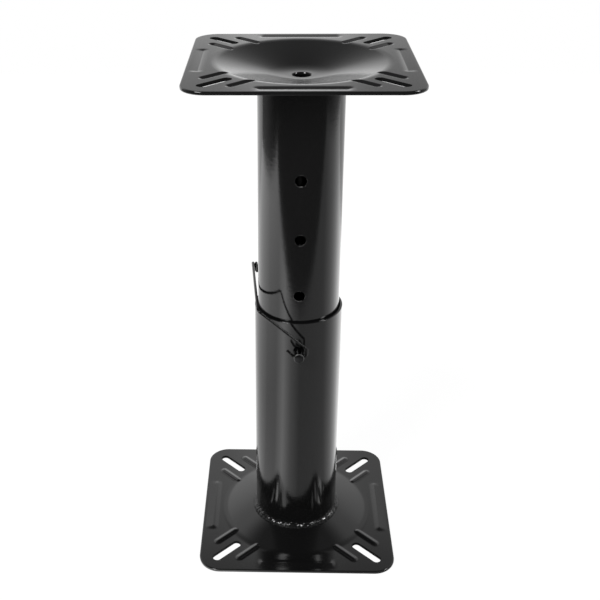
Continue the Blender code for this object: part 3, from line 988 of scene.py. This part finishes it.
def table_material():
    """A pale table top: plain white to the camera, and in gloss painted light from the left and the back,
    with the pedestal's painted shadow.
    """
    material = bpy.data.materials.new("Pale table")
    material.use_nodes = True
    tree = material.node_tree
    tree.nodes.clear()
    link = tree.links.new
    place, split, around, turn, far, add = add_nodes(
        material, "ShaderNodeTexCoord", "ShaderNodeSeparateXYZ", "ShaderNodeMath", "ShaderNodeMapRange",
        "ShaderNodeMapRange", "ShaderNodeMixRGB")
    around.operation = "ARCTAN2"
    link(place.outputs["Object"], split.inputs["Vector"])
    link(split.outputs["Y"], around.inputs[0])
    link(split.outputs["X"], around.inputs[1])
    # Painted reflection: a pool of light and the pedestal's shadow painted on the table round the post
    ramp = ramp_node(tree, POOL_OF_LIGHT, POOL_STRENGTH)
    link(ranged(turn, around.outputs["Value"], -math.pi, math.pi, 0, 1), ramp.inputs["Fac"])
    add.blend_type = "ADD"
    add.inputs["Fac"].default_value = 1
    link(ramp.outputs["Color"], add.inputs[1])
    link(ranged(far, split.outputs["X"], *TABLE_PAINTED_LEFT_LIGHT), add.inputs[2])
    away, edge_glow = add_nodes(material, "ShaderNodeVectorMath", "ShaderNodeMapRange")
    away.operation = "LENGTH"
    link(place.outputs["Object"], away.inputs[0])
    output, glow, gloss, white, path = add_nodes(
        material, "ShaderNodeOutputMaterial", "ShaderNodeEmission", "ShaderNodeEmission",
        "ShaderNodeBsdfDiffuse", "ShaderNodeLightPath")
    seen, mirrored, amount = add_nodes(
        material, "ShaderNodeMixShader", "ShaderNodeMixShader", "ShaderNodeMath")
    gloss.inputs["Strength"].default_value = POOL_STRENGTH
    link(add.outputs["Color"], gloss.inputs["Color"])
    white.inputs["Color"].default_value = TABLE_WHITE
    link(ranged(edge_glow, away.outputs["Value"], *TABLE_GLOW), glow.inputs["Strength"])
    amount.operation = "MULTIPLY"
    amount.inputs[1].default_value = TABLE_GLOW_SHARE
    link(path.outputs["Is Camera Ray"], amount.inputs[0])
    link(amount.outputs["Value"], seen.inputs["Fac"])
    link(white.outputs["BSDF"], seen.inputs[1])
    link(glow.outputs["Emission"], seen.inputs[2])
    link(path.outputs["Is Glossy Ray"], mirrored.inputs["Fac"])
    link(seen.outputs["Shader"], mirrored.inputs[1])
    link(gloss.outputs["Emission"], mirrored.inputs[2])
    link(mirrored.outputs["Shader"], output.inputs["Surface"])
    return material


def studio_world():
    """White to the camera, and in gloss a dim room that is lighter at the back."""
    world = bpy.context.scene.world or bpy.data.worlds.new("Studio")
    bpy.context.scene.world = world
    world.use_nodes = True
    tree = world.node_tree
    tree.nodes.clear()
    new = tree.nodes.new
    link = tree.links.new
    place, split = new("ShaderNodeTexCoord"), new("ShaderNodeSeparateXYZ")
    link(place.outputs["Generated"], split.inputs["Vector"])
    up = ranged(new("ShaderNodeMapRange"), split.outputs["Z"], -1, 1, 0, 1)
    back = ranged(new("ShaderNodeMapRange"), split.outputs["Y"], *ROOM_BACK)
    ramp = ramp_node(tree, ROOM, ROOM_STRENGTH)
    link(up, ramp.inputs["Fac"])
    shade = new("ShaderNodeMixRGB")
    shade.blend_type = "MULTIPLY"
    shade.inputs["Fac"].default_value = 1
    link(ramp.outputs["Color"], shade.inputs[1])
    link(back, shade.inputs[2])
    output, room, white, mix = (new("ShaderNodeOutputWorld"), new("ShaderNodeBackground"),
                                new("ShaderNodeBackground"), new("ShaderNodeMixShader"))
    path = new("ShaderNodeLightPath")
    room.inputs["Strength"].default_value = ROOM_STRENGTH
    white.inputs["Color"].default_value = (1, 1, 1, 1)
    link(shade.outputs["Color"], room.inputs["Color"])
    link(path.outputs["Is Camera Ray"], mix.inputs["Fac"])
    link(room.outputs["Background"], mix.inputs[1])
    link(white.outputs["Background"], mix.inputs[2])
    link(mix.outputs["Shader"], output.inputs["Surface"])


def place_camera(stage):
    """The photograph's view, found from the plates' edges and the tubes' outlines."""
    el, az, roll = (math.radians(v) for v in (stage.elevation, stage.azimuth, stage.roll))
    back = Vector((math.sin(az) * math.cos(el), -math.cos(az) * math.cos(el), math.sin(el)))
    level = Vector((math.cos(az), math.sin(az), 0))
    upright = back.cross(level)
    right = level * math.cos(roll) + upright * math.sin(roll)
    up = upright * math.cos(roll) - level * math.sin(roll)
    place = Vector((0, 0, stage.target_height)) + right * stage.target_right + back * stage.distance
    data = bpy.data.cameras.new("Photo camera")
    data.lens = stage.focal
    data.sensor_width = 36
    data.shift_x, data.shift_y = stage.shift_x, stage.shift_y
    camera = bpy.data.objects.new("Photo camera", data)
    bpy.context.collection.objects.link(camera)
    camera.matrix_world = Matrix((right, up, back)).transposed().to_4x4()
    camera.location = place
    bpy.context.scene.camera = camera


class PEDESTAL_OT_stage(bpy.types.Operator):
    """Set the table, the lamps, the background and the camera"""

    bl_idname = "pedestal.stage"
    bl_label = "Stage"

    def execute(self, context):
        stage = settings("stage")
        deselect()
        width = stage.table_right - stage.table_left
        depth = stage.table_back - stage.table_front
        bpy.ops.mesh.primitive_plane_add(
            size=1, location=(stage.table_left + width / 2, stage.table_front + depth / 2, -0.0002))
        table = context.object
        table.name = "table_top"
        table.scale = (width, depth, 1)
        bpy.ops.object.transform_apply(location=True, rotation=True, scale=True)
        table.data.materials.append(table_material())
        deselect()
        low, high = BACKDROP[0][0], BACKDROP[-1][0]
        bpy.ops.mesh.primitive_plane_add(
            size=1, location=(0, stage.backdrop, (low + high) / 2), rotation=(math.pi / 2, 0, 0))
        backdrop = context.object
        backdrop.name = "backdrop"
        backdrop.scale = (width, high - low, 1)
        bpy.ops.object.transform_apply(location=True, rotation=True, scale=True)
        backdrop.data.materials.append(backdrop_material())
        # The backdrop shows only in reflections, so its light is a painted reflection
        backdrop.visible_camera = backdrop.visible_diffuse = backdrop.visible_shadow = False
        for lamp in LAMPS:
            area_lamp(*lamp)
        studio_world()
        place_camera(stage)
        context.scene.view_settings.view_transform = "Standard"
        return {"FINISHED"}


class PEDESTAL_PT_panel(bpy.types.Panel):
    """Lists the steps that finish the pedestal"""

    bl_label = "Boat seat pedestal"
    bl_idname = "PEDESTAL_PT_panel"
    bl_space_type = "VIEW_3D"
    bl_region_type = "UI"
    bl_category = "Pedestal"

    def draw(self, context):
        for step in STEPS:
            self.layout.operator(step.bl_idname)


GROUPS = {"plate": PlateSettings, "tube": TubeSettings, "wire": WireSettings,
          "paint": PaintSettings, "stage": StageSettings}
STEPS = (PEDESTAL_OT_plates, PEDESTAL_OT_tubes, PEDESTAL_OT_welds, PEDESTAL_OT_lock_pin,
         PEDESTAL_OT_latch_wire, PEDESTAL_OT_stage)


def register():
    """Make the settings, the steps and the panel known."""
    for item in (*GROUPS.values(), *STEPS, PEDESTAL_PT_panel):
        bpy.utils.register_class(item)
    for name, group in GROUPS.items():
        setattr(bpy.types.Scene, "pedestal_" + name, PointerProperty(type=group))


def unregister():
    """Take them away again."""
    for name in GROUPS:
        delattr(bpy.types.Scene, "pedestal_" + name)
    for item in (PEDESTAL_PT_panel, *STEPS[::-1], *list(GROUPS.values())[::-1]):
        bpy.utils.unregister_class(item)


def main():
    """Finish the whole pedestal."""
    register()
    bpy.ops.pedestal.plates()
    bpy.ops.pedestal.tubes()
    bpy.ops.pedestal.welds()
    bpy.ops.pedestal.lock_pin()
    bpy.ops.pedestal.latch_wire()
    bpy.ops.pedestal.stage()


if __name__ == "__main__":
    main()
